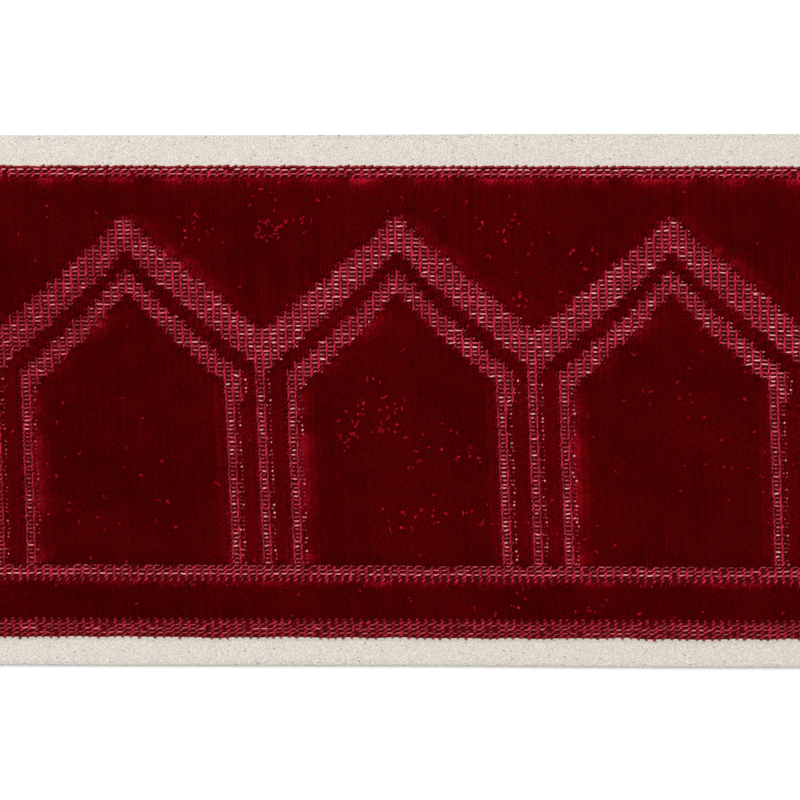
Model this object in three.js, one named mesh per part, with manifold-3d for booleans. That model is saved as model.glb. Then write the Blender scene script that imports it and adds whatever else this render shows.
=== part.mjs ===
// A cut length of woven velvet tape, lying flat with its face up.
//
// The tape is one cloth. A plain margin runs along each long edge. Between the margins the cut pile
// stands in raised fields, and the ground weave shows as sunk lines: a looped border along each side,
// a base line, and a double outline round each arch of an arcade.
//
// Millimetres, +Z up, the arches pointing to +Y. X runs along the tape, and the origin is the middle of
// its underside.

import * as THREE from "three";
import { mergeVertices } from "three/addons/utils/BufferGeometryUtils.js";
import Module from "manifold-3d";

// The weave, which every length along the tape counts in
const ROW_PITCH = 1.5; // from one row of pile to the next
const ROWS_PER_ARCH = 34;
const ARCHES = 5;
const ARCH_PITCH = ROW_PITCH * ROWS_PER_ARCH;
const TAPE_LENGTH = ARCH_PITCH * ARCHES;
const HALF_WIDTH = 49.9; // to the middle of the wave in a long edge

// How the cloth lies: the rows of weft lean and bow a little, and one stretch is drawn together
const LEAN = { atMiddle: 0.034, changeAlong: -0.00012 }; // per millimetre across, and along
const BOW = 0.00018; // per square millimetre across
const DRAWN_IN = { by: 0.85, around: -72, reach: 25 };

// Heights above the surface that the tape lies on
const MARGIN_TOP = 0.9;
const GROUND_TOP = 1.2;
const LOOP_TOP = 1.6;
const PILE_TOP = 2.8;

// Where each stretch across the tape begins and ends, from its middle
const VELVET_EDGE = { top: 44.0, bottom: -44.6 };
const ARCADE = { top: 41.0, bottom: -31.2 };
const STRIPE = { top: -34.2, bottom: -41.2 };

// The lines of an arch: the height of its point, its fall to the sides, and its reach to each side
const OUTER_LINE_TOP = { point: 33.7, fall: 0.83, reach: ARCH_PITCH / 2 };
const OUTER_LINE_BOTTOM = { point: 28.2, fall: 0.87, reach: 24.0 };
const INNER_LINE_TOP = { point: 23.1, fall: 0.88, reach: 21.1 };
const INNER_LINE_BOTTOM = { point: 20.1, fall: 0.92, reach: 18.1 };

// Soft forms
const PILE_ROUND = { across: 0.45, down: 0.6, steps: 2 }; // the rounded rim of a field of pile
const EDGE_ROUND = { across: 0.2, down: 0.25, steps: 2 }; // the rounded long edges
const EDGE_WAVE = { height: 0.2, length: 2 * ARCH_PITCH, pointsPerWave: 16 };
const LOOP_RIDGE = { width: 1.35, pitch: 1.45, steps: 6, perBorder: 2 };
const SUNK = 0.7; // how far each layer reaches down into the one that it stands on

const wasm = await Module();
wasm.setup();

// The solid of a closed geometry, by its positions alone.
function solidOf(geometry) {
  const bare = geometry.clone();
  bare.deleteAttribute("normal");
  bare.deleteAttribute("uv");
  const merged = mergeVertices(bare, 1e-4);
  return new wasm.Manifold(
    new wasm.Mesh({
      numProp: 3,
      vertProperties: merged.attributes.position.array,
      triVerts: new Uint32Array(merged.index.array),
    }),
  );
}

function geometryOf(solid) {
  const mesh = solid.getMesh();
  const geometry = new THREE.BufferGeometry();
  geometry.setAttribute("position", new THREE.BufferAttribute(mesh.vertProperties, 3));
  geometry.setIndex(new THREE.BufferAttribute(mesh.triVerts, 1));
  return geometry;
}

// A flat piece of this outline from one height to another, with its rims rounded inwards.
function pad(outline, low, high, round) {
  const shape = new THREE.Shape(outline.map(([x, y]) => new THREE.Vector2(x, y)));
  const geometry = new THREE.ExtrudeGeometry(shape, {
    depth: high - low - 2 * round.down,
    bevelEnabled: true,
    bevelThickness: round.down,
    bevelSize: round.across,
    bevelOffset: -round.across,
    bevelSegments: round.steps,
  });
  return geometry.translate(0, 0, low + round.down);
}

// Where the line round an arch runs at a distance from the arch's middle.
function heightOfLine(line, across) {
  return line.point - line.fall * Math.abs(across);
}

// A line round an arch that stands at middle, from its left shoulder over its point to its right one.
function lineOver(line, middle) {
  return [-line.reach, 0, line.reach].map((across) => [
    middle + across,
    heightOfLine(line, across),
  ]);
}

// The whole cloth at the height of its margins, its long edges slightly waved.
function clothOutline() {
  const step = EDGE_WAVE.length / EDGE_WAVE.pointsPerWave;
  const count = Math.round(TAPE_LENGTH / step);
  const stations = Array.from({ length: count + 1 }, (_, i) => i * step - TAPE_LENGTH / 2);
  const turn = (x) => (2 * Math.PI * x) / EDGE_WAVE.length;
  const top = stations.map((x) => [x, HALF_WIDTH + EDGE_WAVE.height * Math.sin(turn(x))]);
  const bottom = stations.map((x) => [x, -HALF_WIDTH + EDGE_WAVE.height * Math.cos(turn(x))]);
  return [...bottom, ...top.reverse()];
}

// A plain stretch along the whole tape, between two distances from its middle.
function stretchOutline({ top, bottom }) {
  const end = TAPE_LENGTH / 2;
  return [[-end, bottom], [end, bottom], [end, top], [-end, top]];
}

const archMiddles = Array.from(
  { length: ARCHES },
  (_, i) => (i - (ARCHES - 1) / 2) * ARCH_PITCH,
);

// The field above the arcade, whose lower side is the zigzag of the outer lines.
function skyOutline() {
  const end = TAPE_LENGTH / 2;
  const valley = heightOfLine(OUTER_LINE_TOP, OUTER_LINE_TOP.reach);
  const zigzag = archMiddles.flatMap((middle) => [
    [middle, OUTER_LINE_TOP.point],
    [middle + ARCH_PITCH / 2, valley],
  ]);
  return [[-end, valley], ...zigzag, [end, ARCADE.top], [-end, ARCADE.top]];
}

// The band of pile between the two lines of an arch, with its legs down to the base line.
function bandOutline(middle) {
  const outside = lineOver(OUTER_LINE_BOTTOM, middle);
  const inside = lineOver(INNER_LINE_TOP, middle).reverse();
  return [
    [middle - OUTER_LINE_BOTTOM.reach, ARCADE.bottom],
    ...outside,
    [middle + OUTER_LINE_BOTTOM.reach, ARCADE.bottom],
    [middle + INNER_LINE_TOP.reach, ARCADE.bottom],
    ...inside,
    [middle - INNER_LINE_TOP.reach, ARCADE.bottom],
  ];
}

// The panel of pile inside an arch.
function panelOutline(middle) {
  return [
    [middle - INNER_LINE_BOTTOM.reach, ARCADE.bottom],
    ...lineOver(INNER_LINE_BOTTOM, middle),
    [middle + INNER_LINE_BOTTOM.reach, ARCADE.bottom],
  ];
}

// One ridge of the loops in a border, a low round bar along the whole tape.
function loopRidge(distance) {
  const section = new THREE.Shape();
  const half = LOOP_RIDGE.width / 2;
  const foot = GROUND_TOP - SUNK;
  section.moveTo(-half, foot);
  section.lineTo(half, foot);
  section.lineTo(half, GROUND_TOP);
  section.absellipse(0, GROUND_TOP, half, LOOP_TOP - GROUND_TOP, 0, Math.PI, false);
  const bar = new THREE.ExtrudeGeometry(section, {
    depth: TAPE_LENGTH,
    bevelEnabled: false,
    curveSegments: LOOP_RIDGE.steps,
  });
  // The section's sides turn to Y and Z, and the way of the extrusion turns to X.
  bar.applyMatrix4(new THREE.Matrix4().set(0, 0, 1, 0, 1, 0, 0, 0, 0, 1, 0, 0, 0, 0, 0, 1));
  return bar.translate(-TAPE_LENGTH / 2, distance, 0);
}

// The ridges of a border, from the edge of the velvet inwards.
function borderRidges(edge, inwards) {
  return Array.from({ length: LOOP_RIDGE.perBorder }, (_, i) =>
    loopRidge(edge + inwards * (LOOP_RIDGE.width / 2 + i * LOOP_RIDGE.pitch)),
  );
}

// The ground weave between the margins stands square at its sides, so its rims aren't rounded.
function groundWeave() {
  const shape = new THREE.Shape(
    stretchOutline(VELVET_EDGE).map(([x, y]) => new THREE.Vector2(x, y)),
  );
  const low = MARGIN_TOP - SUNK;
  const geometry = new THREE.ExtrudeGeometry(shape, {
    depth: GROUND_TOP - low,
    bevelEnabled: false,
  });
  return geometry.translate(0, 0, low);
}

function pile(outline) {
  return pad(outline, GROUND_TOP - SUNK, PILE_TOP, PILE_ROUND);
}

// Where a point of the woven pattern lies along the tape.
function laidAlong(x, y) {
  const lean = LEAN.atMiddle + LEAN.changeAlong * x;
  const drawnIn = DRAWN_IN.by * Math.exp(-(((x - DRAWN_IN.around) / DRAWN_IN.reach) ** 2));
  return x + drawnIn - lean * y + BOW * y * y;
}

// Half way between the two corners of the tape that lie farthest apart.
const laidMiddle =
  (laidAlong(TAPE_LENGTH / 2, -HALF_WIDTH) + laidAlong(-TAPE_LENGTH / 2, HALF_WIDTH)) / 2;

function laidOut(geometry) {
  const place = geometry.attributes.position;
  for (let i = 0; i < place.count; i += 1) {
    place.setX(i, laidAlong(place.getX(i), place.getY(i)) - laidMiddle);
  }
  return geometry;
}

const layers = [
  groundWeave(),
  ...borderRidges(VELVET_EDGE.top, -1),
  ...borderRidges(VELVET_EDGE.bottom, 1),
  pile(skyOutline()),
  ...archMiddles.map((middle) => pile(bandOutline(middle))),
  ...archMiddles.map((middle) => pile(panelOutline(middle))),
  pile(stretchOutline(STRIPE)),
];
const cloth = solidOf(pad(clothOutline(), 0, MARGIN_TOP, EDGE_ROUND));
const woven = layers.reduce((body, layer) => body.add(solidOf(layer)), cloth);

const tape = new THREE.Mesh(
  laidOut(geometryOf(woven)),
  new THREE.MeshStandardMaterial({ color: 0x5a0408, roughness: 0.92, metalness: 0 }),
);
tape.name = "velvet_tape";

const part = new THREE.Group();
part.add(tape);

export default part;
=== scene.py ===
# A cut length of velvet tape, lying flat with its face up.
import math

import bpy
import numpy as np
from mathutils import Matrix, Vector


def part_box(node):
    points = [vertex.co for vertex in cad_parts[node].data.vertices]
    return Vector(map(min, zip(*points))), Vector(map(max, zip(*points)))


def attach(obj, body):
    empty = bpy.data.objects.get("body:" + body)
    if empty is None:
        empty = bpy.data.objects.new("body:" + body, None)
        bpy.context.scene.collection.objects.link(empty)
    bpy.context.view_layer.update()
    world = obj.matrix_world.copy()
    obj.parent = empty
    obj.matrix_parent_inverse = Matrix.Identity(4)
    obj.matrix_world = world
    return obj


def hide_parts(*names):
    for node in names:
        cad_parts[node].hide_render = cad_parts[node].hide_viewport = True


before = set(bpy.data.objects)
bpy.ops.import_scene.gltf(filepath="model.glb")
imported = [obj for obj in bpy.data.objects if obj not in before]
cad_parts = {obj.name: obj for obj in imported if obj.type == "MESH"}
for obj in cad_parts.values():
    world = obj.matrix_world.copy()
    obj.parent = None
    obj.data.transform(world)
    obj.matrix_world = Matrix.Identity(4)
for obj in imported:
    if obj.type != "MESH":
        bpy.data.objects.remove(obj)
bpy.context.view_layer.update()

mm = 0.001
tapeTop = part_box("velvet_tape")[1][2]
print("frame loaded")


# Facts side by side, such as places, from values that are alone or one for each point.
def together(*values):
    return np.stack(np.broadcast_arrays(*values), 1)


def addObject(name, data):
    made = bpy.data.objects.new(name, data)
    bpy.context.scene.collection.objects.link(made)
    return made


# The camera looks straight down on the middle arch.
cameraLook = {
    "photoPixels": 800,
    "pixelSize": 0.1875,  # mm of tape that one pixel covers
    "middle": (0.47, 0.09),  # the point of the tape at the centre of the frame, in mm
    "lens": 120.0,  # mm
    "sensor": 36.0,  # mm
}


def addCamera(look):
    data = bpy.data.cameras.new("camera")
    data.lens = look["lens"]
    data.sensor_width = look["sensor"]
    camera = addObject("camera", data)
    frameWidth = look["photoPixels"] * look["pixelSize"] * mm
    distance = frameWidth * look["lens"] / look["sensor"]
    across, up = look["middle"]
    camera.location = (across * mm, up * mm, tapeTop + distance)
    bpy.context.scene.camera = camera


addCamera(cameraLook)


# The weave's grid, in mm: columns of pile follow each other along the tape, rows of weft across it.
weave = {
    "arches": 5,
    "columnsPerArch": 34,
    "columnPitch": 1.5,
    "columnShift": 0.28,  # from an arch's axis to the column nearest to it
    "rows": 114,
    "top": 44.17,  # the edge of the coloured weave towards +Y
    "bottom": -44.93,
}
tapeLength = weave["arches"] * weave["columnsPerArch"] * weave["columnPitch"]
columnCount = weave["arches"] * weave["columnsPerArch"]
rowPitch = (weave["top"] - weave["bottom"]) / weave["rows"]

# How the cloth lies, in mm: the columns lean and bow a little, one stretch is drawn together, the legs
# of each arch stand closer and the heads wider apart, and the rows fall slightly towards +X.
lay = {
    "halfWidth": 50.1,
    "lean": 0.034,  # per mm across
    "leanChange": -0.00012,  # of the lean, per mm along
    "bow": 0.00018,  # per square mm across
    "drawnIn": (1.06, -72.0, 25.0, 0.00045),  # how much, where, its reach, and its bend across
    "stretch": 0.0045,  # per mm along, right of the middle
    "gathered": (0.26, 6.0),  # each arch's legs: how far, and how softly that sets in
    "spread": (0.003, 25.0, 8.0, 6.0),  # the arches' heads: per mm along, from where, height, softness
    "fallReach": 75.0,
    "fallAt": (-50.1, -44.9, -33.0, 43.0, 50.1),  # places across the tape
    "falls": (0.0038, 0.0045, 0.0048, 0.0020, -0.0025),  # and the fall there, per mm along
    "waver": (0.14, 7.0, -44.9, 1.2),  # of the coloured weave's lower edge: height, length, place, reach
}

# Heights above the surface that the tape lies on, in mm.
heights = {
    "margin": 0.9,
    "floor": 1.3,  # the dark bottom of the weave between its yarns
    "crown": 2.5,  # the dense body of the pile
    "pile": tapeTop / mm,
}

# The pattern. Each line has the height of its point over an arch's axis, its fall to the sides, and
# how much its point is blunted, in mm.
pattern = {
    "outerTop": (34.6, 0.83, 0.5),
    "outerBottom": (27.1, 0.88, 0.7),
    "innerTop": (24.3, 0.88, 0.6),
    "innerBottom": (19.2, 0.92, 0.6),
    "bluntReach": 4.0,
    "innerReach": 14,  # columns from an arch's axis to the end of its inner line
    "uprights": (-14, -13, 12, 13, 16, -17),  # columns of the upright lines, from the axis
    "topRows": 3,  # rows of the upper border
    "baseRows": (96, 99),
    "bottomRows": 109,  # from here on the rows belong to the lower border
}


def laidAlong(x, y):
    gathered, softness = lay["gathered"]
    turn = math.tau * x * weave["arches"] / tapeLength
    legs = gathered * np.sin(turn) * (0.5 - 0.5 * np.tanh(y / softness))
    share, start, height, softness = lay["spread"]
    heads = share * (x - start) * (0.5 + 0.5 * np.tanh((y - height) / softness))
    amount, around, reach, bend = lay["drawnIn"]
    drawn = (amount - bend * y * y) * np.exp(-(((x - around) / reach) ** 2))
    stretched = x + lay["stretch"] * np.maximum(x, 0.0)
    lean = lay["lean"] + lay["leanChange"] * x
    return stretched + legs + heads + drawn - lean * y + lay["bow"] * y * y


# Half way between the two corners of the tape that lie farthest apart.
farCorners = ((tapeLength / 2, -lay["halfWidth"]), (-tapeLength / 2, lay["halfWidth"]))
laidMiddle = sum(laidAlong(x, y) for x, y in farCorners) / 2


def laidOut(places):
    x, y, z = np.array(places, float).T
    fall = lay["fallReach"] * np.sin(x / lay["fallReach"]) * np.interp(y, lay["fallAt"], lay["falls"])
    height, length, around, reach = lay["waver"]
    waver = height * softWaves(x, 0 * x, length, 5) * np.exp(-(((y - around) / reach) ** 2))
    return together(laidAlong(x, y) - laidMiddle, y - fall + waver, z)


def columnPlace(column):
    return (column - columnCount // 2) * weave["columnPitch"] + weave["columnShift"]


def rowPlace(row):
    return weave["top"] - (row + 0.5) * rowPitch


def chartGround():
    column = np.arange(columnCount)[:, None] - columnCount // 2
    halfArch = weave["columnsPerArch"] // 2
    fromAxis = (column + halfArch) % weave["columnsPerArch"] - halfArch
    row = np.arange(weave["rows"])[None, :]
    y = rowPlace(row)
    across = np.abs(fromAxis) * weave["columnPitch"]

    def under(name):
        point, fall, blunt = pattern[name]
        return y < point - fall * across + blunt * np.exp(-((across / pattern["bluntReach"]) ** 2))

    reach = pattern["innerReach"]
    outer = under("outerTop") & ~under("outerBottom")
    inner = under("innerTop") & ~under("innerBottom") & (np.abs(fromAxis) <= reach)
    top = np.where(np.abs(fromAxis) <= reach, under("innerTop"), under("outerTop"))
    upright = top & np.isin(fromAxis, pattern["uprights"])
    first, last = pattern["baseRows"]
    arcade = (outer | inner | upright) & (row < first)
    base = (row >= first) & (row <= last)
    border = (row < pattern["topRows"]) | (row >= pattern["bottomRows"])
    return arcade | base | border


ground = chartGround()
print("pattern charted:", int(ground.sum()), "flat cells,", int((~ground).sum()), "raised")


# Soft unevenness: a few long waves laid over each other, from -1 to 1.
def softWaves(x, y, length, seed, waves=6):
    chance = np.random.default_rng(seed)
    total = 0.0
    for turn, phase in zip(chance.uniform(0, math.tau, waves), chance.uniform(0, math.tau, waves)):
        reach = length * chance.uniform(0.6, 1.6)
        total = total + np.sin((x * math.cos(turn) + y * math.sin(turn)) * math.tau / reach + phase)
    return total * 2 / waves


# How light the pile is, and how much painted sheen each cell has where the sides of its fibres show,
# both from 0 to 1.
mood = {
    "base": (0.51, 0.42),  # above the arches, and elsewhere
    "darker": (0.2, -62.0, 24.0),  # in one stretch: how much, where, and its reach
    "patches": 0.16,
    "patchLength": 22.0,
    "smallPatches": 0.1,
    "smallLength": 6.0,
    "streaks": 0.36,
    "closedStreaks": 0.2,  # the share of them that shows where the lanes are closed
    "lane": 0.75,  # width of a streak, in mm
    "laneLength": 7.0,
    "crisp": 0.05,  # how far the lanes stand apart on average
    "crispChange": 0.4,
    "crispLength": 22.0,
    "crispInSky": 0.45,  # more of it above the arches
    "furrowPaintedShade": 0.65,  # painted shade between lanes that stand apart
    "crest": 0.2,  # and painted light on them
    "paintedSheenUnderTop": (0.55, 0.38, 0.16),  # painted sheen in the rows just under the upper border
    "paintedSheenUnderBase": (0.36, 0.16),
    "paintedSheenHalo": (0.42, 0.24, 0.06),  # painted sheen in a wide field, by columns from the flat line to its left
    "rim": 0.2,  # painted sheen beside any flat cell
    "blotches": ((0.45, 9.0), (0.35, 3.2)),  # in the painted sheen along a border: strength and length
    "paintedSheenHaloRange": (0.4, 1.6),  # least and most of them that a halo keeps
}


# Streaks in the pile, from -1 to 1: narrow lanes down the tape, each changing slowly along its length.
def laneStreaks(x, y, seed):
    chance = np.random.default_rng(seed)
    lanes = int(tapeLength / mood["lane"]) + 3
    stops = int(2 * lay["halfWidth"] / mood["laneLength"]) + 3
    knots = chance.uniform(-1, 1, (lanes, stops))
    lane = np.clip(np.round(x / mood["lane"] + lanes / 2), 0, lanes - 1).astype(int)
    turn = np.clip((weave["top"] - y) / mood["laneLength"], 0, stops - 2)
    before = turn.astype(int)
    share = turn - before
    return knots[lane, before] * (1 - share) + knots[lane, before + 1] * share


# Whether a place lies in the field above the arches.
def inSky(y):
    point, fall, _ = pattern["outerTop"]
    return y > point - fall * tapeLength / weave["arches"] / 2


# How clearly the lanes stand apart, from 0 to 1.
def laneCrispness(x, y):
    crisp = mood["crisp"] + mood["crispChange"] * softWaves(x, y, mood["crispLength"], 78)
    return np.clip(crisp + mood["crispInSky"] * inSky(y), 0, 1)


# One stretch of the tape is darker than the rest, in its pile and in its stitches.
def darkerHere(x):
    darker, around, reach = mood["darker"]
    return darker * np.exp(-(((x - around) / reach) ** 2))


def pileTone(x, y):
    tone = np.where(inSky(y), *mood["base"])
    tone = tone + mood["patches"] * softWaves(x, y, mood["patchLength"], 71)
    tone = tone + mood["smallPatches"] * softWaves(x, y, mood["smallLength"], 72)
    tone = tone - darkerHere(x)
    closed = mood["closedStreaks"]
    shown = closed + (1 - closed) * laneCrispness(x, y)
    return tone + mood["streaks"] * shown * laneStreaks(x, y, 73)


# Along a border the pile's painted sheen comes in blotches.
def blotches(x, seed):
    waves = enumerate(mood["blotches"], seed)
    return sum((share * softWaves(x, 0 * x, length, number) for number, (share, length) in waves), start=1)


def chartPaintedSheen():
    glow = np.zeros(ground.shape)
    most = len(mood["paintedSheenHalo"])
    padded = np.pad(ground, most, constant_values=True)[:, most:-most]
    columns = [padded[shift:shift + columnCount] for shift in range(2 * most + 1)]
    wide = ~np.any(columns[most:], axis=0)
    uneven = np.clip(blotches(rowPlace(np.arange(weave["rows"])), 75), *mood["paintedSheenHaloRange"])
    for step in range(most, 0, -1):
        glow = np.where(columns[most - step] & wide, mood["paintedSheenHalo"][step - 1] * uneven, glow)
    around = np.pad(ground, 1)
    touching = around[:-2, 1:-1] | around[2:, 1:-1] | around[1:-1, :-2] | around[1:-1, 2:]
    glow = np.maximum(glow, mood["rim"] * (touching & ~ground))
    x = columnPlace(np.arange(columnCount))
    for first, shares, seed in (
        (pattern["topRows"], mood["paintedSheenUnderTop"], 74),
        (pattern["baseRows"][1] + 1, mood["paintedSheenUnderBase"], 76),
    ):
        for step, share in enumerate(shares):
            glow[:, first + step] = np.clip(share * blotches(x, seed), 0, 1)
    return glow


paintedSheenChart = chartPaintedSheen()


# Every yarn and fibre carries these values: how far along it a point lies, which side of it, its own
# tone, and how much painted sheen it carries where its side shows. They also place it on the map that
# its finish is kept on.
bakeName = "OFBake"
sharpAngle = 55  # in degrees, between faces that don't shade into each other
bakeSpread = {"tone": (0.02, 0.96), "side": 0.012, "along": (0.01, 0.98)}


def setFact(mesh, name, values, kind="FLOAT"):
    values = np.asarray(values, np.float32)
    store = mesh.attributes.new(name, kind, "POINT")
    store.data.foreach_set("value" if kind == "FLOAT" else "vector", values.ravel())


def setBakeMap(mesh, u, v):
    store = mesh.uv_layers.new(name=bakeName)
    store.data.foreach_set("uv", together(u, v).astype(np.float32).ravel())


def meshPiece(name, places, faces):
    mesh = bpy.data.meshes.new(name)
    mesh.from_pydata((laidOut(places) * mm).tolist(), [], faces)
    mesh.polygons.foreach_set("use_smooth", np.full(len(mesh.polygons), True))
    mesh.set_sharp_from_angle(angle=math.radians(sharpAngle))
    mesh.update()
    return addObject(name, mesh)


# The woven ground: one closed thin sheet, with the dark floor of the weave and the plain margins.
sheetLook = {
    "wave": (0.05, 102.0),  # height and length of the wave in its long edges
    "alongStep": 1.0,
    "undersideSteps": 12,
    "marginSteps": 14,
    "floorSteps": 36,
    "edge": [(0.3, 0.0), (0.08, 0.1), (0.0, 0.38), (0.07, 0.72), (0.34, 0.88)],  # inwards, up
    "unevenness": 0.03,
    "unevenLength": 7.0,
    "ringShare": 0.96,  # of the map's height, the rest is for the cut ends
}


def addSheet(look):
    count = round(tapeLength / look["alongStep"]) + 1
    along = np.linspace(-tapeLength / 2, tapeLength / 2, count)
    height, length = look["wave"]
    topEdge = lay["halfWidth"] + height * np.sin(math.tau * along / length)
    bottomEdge = -lay["halfWidth"] + height * np.cos(math.tau * along / length)
    inward = look["edge"][-1][0]
    lines = []  # each is one line of points along the tape

    def addLine(y, z):
        lines.append(together(along, y, z))

    def addMargin(start, stop):
        for share in np.linspace(0, 1, look["marginSteps"] + 1)[1:-1]:
            y = start * (1 - share) + stop * share
            uneven = look["unevenness"] * softWaves(along, y, look["unevenLength"], 3)
            addLine(y, heights["margin"] + uneven)

    for share in np.linspace(0, 1, look["undersideSteps"] + 1)[1:-1]:
        addLine(bottomEdge * (1 - share) + topEdge * share, 0.0)
    for inwards, up in look["edge"]:
        addLine(topEdge - inwards, up)
    addMargin(topEdge - inward, weave["top"])
    for y in np.linspace(weave["top"], weave["bottom"], look["floorSteps"] + 1):
        addLine(y, heights["floor"])
    addMargin(weave["bottom"], bottomEdge + inward)
    for inwards, up in reversed(look["edge"]):
        addLine(bottomEdge + inwards, up)

    size = len(lines)
    faces = []
    for i in range(count - 1):
        for j in range(size):
            after = (j + 1) % size
            faces.append((i * size + j, i * size + after, (i + 1) * size + after, (i + 1) * size + j))
    faces.append(tuple(reversed(range(size))))
    faces.append(tuple((count - 1) * size + j for j in range(size)))
    places = np.stack(lines, 1).reshape(-1, 3)
    piece = meshPiece("woven_ground", places, faces)
    setFact(piece.data, "across", places[:, 1])

    # On its map each face along the tape has its own place, and the two cut ends lie above them.
    ring = look["ringShare"]
    i, j = np.divmod(np.arange((count - 1) * size), size)
    u = together(i, i, i + 1, i + 1) / (count - 1)
    v = together(j, j + 1, j + 1, j) / size * ring
    ends = np.concatenate([np.arange(size)[::-1], (count - 1) * size + np.arange(size)])
    endShift = np.repeat([0.0, 0.5], size)
    endU = endShift + 0.48 * (places[ends, 1] / (2 * lay["halfWidth"]) + 0.5)
    endV = ring + 0.01 + 0.02 * places[ends, 2]
    setBakeMap(piece.data, np.append(u, endU), np.append(v, endV))
    return piece


sheet = addSheet(sheetLook)
print("woven ground:", len(sheet.data.polygons), "faces")


# The body of the pile: one ridge with two crests for each run of raised cells in a column.
ridgeLook = {
    "rowsPerStep": 2,
    "foot": 0.8,  # below the floor, so that no gap shows
    "foldDrop": (0.14, 0.02, 0.08, 0.02, 0.14),  # how far each line of its top lies under its crown
    "crests": (-1, 1, -1, 1, -1),  # its two crests carry painted light, the other lines painted shade
    "endDrop": 0.5,
    "width": 1.5,
    "insetEnd": 0.12,
    "insetSide": (0.22, 0.05),  # beside a flat line on its left, and on its right
    "unevenness": 0.04,
    "lean": (-0.1, -0.1),
    "along": (0.25, 0.88),  # of a fibre's length, at the foot and on top
}


def runsOf(column):
    raised = np.concatenate([[False], ~ground[column], [False]])
    edges = np.flatnonzero(raised[1:] != raised[:-1])
    return zip(edges[::2], edges[1::2])


def addRidges(look):
    chance = np.random.default_rng(11)
    places, faces, cells = [], [], []
    lines = len(look["crests"]) + 2
    shift, back = look["lean"]
    for column in range(columnCount):
        x = columnPlace(column)
        for start, stop in runsOf(column):
            steps = max(2, round((stop - start) / look["rowsPerStep"]))
            middle = (start + stop) // 2
            flatBefore = column > 0 and ground[column - 1, middle]
            flatAfter = column + 1 < columnCount and ground[column + 1, middle]
            low = x - look["width"] / 2 + flatBefore * look["insetSide"][0]
            high = x + look["width"] / 2 - flatAfter * look["insetSide"][1]
            first = len(places)
            top = weave["top"] - start * rowPitch - look["insetEnd"]
            bottom = weave["top"] - stop * rowPitch + look["insetEnd"]
            for i, y in enumerate(np.linspace(top, bottom, steps + 1)):
                crown = heights["crown"] - look["endDrop"] * (i in (0, steps))
                crown += look["unevenness"] * chance.uniform(-1, 1)
                places.append((low, y, look["foot"]))
                for share, drop in zip(np.linspace(0, 1, lines - 2), look["foldDrop"]):
                    places.append((low + share * (high - low) + shift, y + back, crown - drop))
                places.append((high, y, look["foot"]))
                row = min(stop - 1, start + round(i * (stop - start) / steps))
                cells.extend([(column, row)] * lines)
            for i in range(steps):
                for j in range(lines):
                    a, b = first + i * lines + j, first + i * lines + (j + 1) % lines
                    faces.append((a, a + lines, b + lines, b))
            faces.append(tuple(first + j for j in range(lines)))
            faces.append(tuple(first + steps * lines + j for j in reversed(range(lines))))
    piece = meshPiece("pile_ridges", places, faces)
    column, row = np.array(cells).T
    foot, top = look["along"]
    along = np.tile([foot, *[top] * (lines - 2), foot], len(places) // lines)
    side = np.tile(np.linspace(-1, 1, lines), len(places) // lines)
    crest = np.tile([-1, *look["crests"], -1], len(places) // lines)
    x, y, _ = np.array(places).T
    # Painted light on the crests and painted shade on the lines between them, more where lanes stand apart.
    change = np.where(crest > 0, mood["crest"], -mood["furrowPaintedShade"])
    tone = np.clip(pileTone(x, y) + change * laneCrispness(x, y), 0, 1)
    glow = paintedSheenChart[column, row]
    for name, values in (("along", along), ("side", side), ("tone", tone), ("glow", glow)):
        setFact(piece.data, name, values)
    toneStart, toneReach = bakeSpread["tone"]
    alongStart, alongReach = bakeSpread["along"]
    u = toneStart + toneReach * tone + bakeSpread["side"] * side
    v = alongStart + alongReach * along * (1 - glow)
    corner = np.concatenate(faces)
    setBakeMap(piece.data, u[corner], v[corner])
    return piece


ridges = addRidges(ridgeLook)
print("pile ridges:", len(ridges.data.polygons), "faces")


# A node with its settings and inputs, each input being a value or the socket that feeds it.
def addNode(tree, kind, inputs=(), **settings):
    node = tree.nodes.new(kind)
    for name, value in settings.items():
        setattr(node, name, value)
    for socket, value in dict(inputs).items():
        if isinstance(value, bpy.types.NodeSocket):
            tree.links.new(value, node.inputs[socket])
        else:
            node.inputs[socket].default_value = value
    return node


def calc(tree, operation, *values):
    return addNode(tree, "ShaderNodeMath", enumerate(values), operation=operation).outputs[0]


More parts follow.
